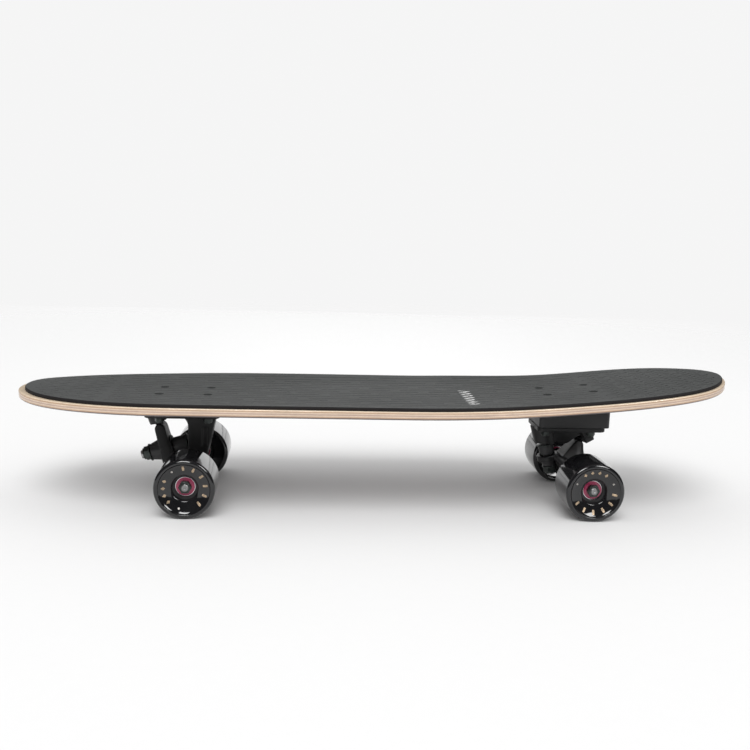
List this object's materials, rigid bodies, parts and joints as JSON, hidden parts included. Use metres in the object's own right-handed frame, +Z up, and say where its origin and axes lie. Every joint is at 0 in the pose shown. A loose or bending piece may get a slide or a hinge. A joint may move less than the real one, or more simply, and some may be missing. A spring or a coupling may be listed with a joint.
{
  "type": "surf-style skateboard",
  "caption": "Skateboard with an upturned laminated deck, grooved foam pad, tall steering front truck, rear truck on a wedge riser, and four glossy black wheels.",
  "frame": {"origin": "on the ground under the middle of the deck", "axes": "+X towards the tail, +Y to the right of a rider who faces the nose, +Z up"},
  "size_m": [0.812, 0.213, 0.1513],
  "materials": {
    "maple_ply": "satin clear coat, light and dark plies at the edge",
    "foam_pad": "matt grooved foam",
    "riser_plastic": "satin moulded",
    "black_casting": "satin black over a casting",
    "cup_plastic": "moulded",
    "bushing_urethane": "satin urethane",
    "black_steel": "black oxide",
    "dark_nut_steel": "dark plated",
    "wheel_urethane": "glossy poured urethane",
    "core_plastic": "moulded",
    "red_shield": "glossy shield",
    "bearing_steel": "polished",
    "zinc_steel": "zinc plated"
  },
  "bodies": {
    "board": {"deck": "maple_ply", "deck_pad": "foam_pad", "front_mount_bolts": "black_steel", "front_mount_nuts": "dark_nut_steel", "rear_mount_bolts": "black_steel", "rear_mount_nuts": "dark_nut_steel", "rear_riser": "riser_plastic", "front_baseplate": "black_casting", "front_pivot_cup": "cup_plastic", "front_kingpin": "zinc_steel", "front_kingpin_nut": "dark_nut_steel", "front_bushing_washers": "zinc_steel", "front_outer_bushing": "bushing_urethane", "front_inner_bushing": "bushing_urethane", "rear_baseplate": "black_casting", "rear_pivot_cup": "cup_plastic", "rear_kingpin": "zinc_steel", "rear_kingpin_nut": "dark_nut_steel", "rear_bushing_washers": "zinc_steel", "rear_upper_bushing": "bushing_urethane", "rear_lower_bushing": "bushing_urethane"},
    "front_hanger_set": {"front_hanger": "black_casting", "front_axle": "zinc_steel", "front_bearing_inner_races": "bearing_steel", "front_bearing_spacers": "zinc_steel", "front_speed_washers": "zinc_steel", "front_axle_nuts": "dark_nut_steel"},
    "rear_hanger_set": {"rear_hanger": "black_casting", "rear_axle": "zinc_steel", "rear_bearing_inner_races": "bearing_steel", "rear_bearing_spacers": "zinc_steel", "rear_speed_washers": "zinc_steel", "rear_axle_nuts": "dark_nut_steel"},
    "front_left_wheel_set": {"front_left_wheel": "wheel_urethane", "front_left_core": "core_plastic", "front_left_outer_races": "bearing_steel", "front_left_shields": "red_shield", "front_left_balls": "bearing_steel"},
    "front_right_wheel_set": {"front_right_wheel": "wheel_urethane", "front_right_core": "core_plastic", "front_right_outer_races": "bearing_steel", "front_right_shields": "red_shield", "front_right_balls": "bearing_steel"},
    "rear_left_wheel_set": {"rear_left_wheel": "wheel_urethane", "rear_left_core": "core_plastic", "rear_left_outer_races": "bearing_steel", "rear_left_shields": "red_shield", "rear_left_balls": "bearing_steel"},
    "rear_right_wheel_set": {"rear_right_wheel": "wheel_urethane", "rear_right_core": "core_plastic", "rear_right_outer_races": "bearing_steel", "rear_right_shields": "red_shield", "rear_right_balls": "bearing_steel"}
  },
  "joints": [
    {"name": "front_steer", "type": "hinge", "parent": "board", "child": "front_hanger_set", "pos_m": [-0.2411, 0, 0.0525], "axis": [-0.3502, 0, 0.9367], "range_deg": [-18, 18], "stiffness_Nm_per_rad": 60, "deforming": ["front_outer_bushing", "front_inner_bushing"]},
    {"name": "rear_steer", "type": "hinge", "parent": "board", "child": "rear_hanger_set", "pos_m": [0.2044, 0, 0.047], "axis": [0.866, 0, 0.5], "range_deg": [-16, 16], "stiffness_Nm_per_rad": 60, "deforming": ["rear_upper_bushing", "rear_lower_bushing"]},
    {"name": "front_left_spin", "type": "hinge", "parent": "front_hanger_set", "child": "front_left_wheel_set", "pos_m": [-0.211, -0.07675, 0.0325], "axis": [0, 1, 0], "continuous": true},
    {"name": "front_right_spin", "type": "hinge", "parent": "front_hanger_set", "child": "front_right_wheel_set", "pos_m": [-0.211, 0.07675, 0.0325], "axis": [0, 1, 0], "continuous": true},
    {"name": "rear_left_spin", "type": "hinge", "parent": "rear_hanger_set", "child": "rear_left_wheel_set", "pos_m": [0.233, -0.07675, 0.0325], "axis": [0, 1, 0], "continuous": true},
    {"name": "rear_right_spin", "type": "hinge", "parent": "rear_hanger_set", "child": "rear_right_wheel_set", "pos_m": [0.233, 0.07675, 0.0325], "axis": [0, 1, 0], "continuous": true}
  ]
}
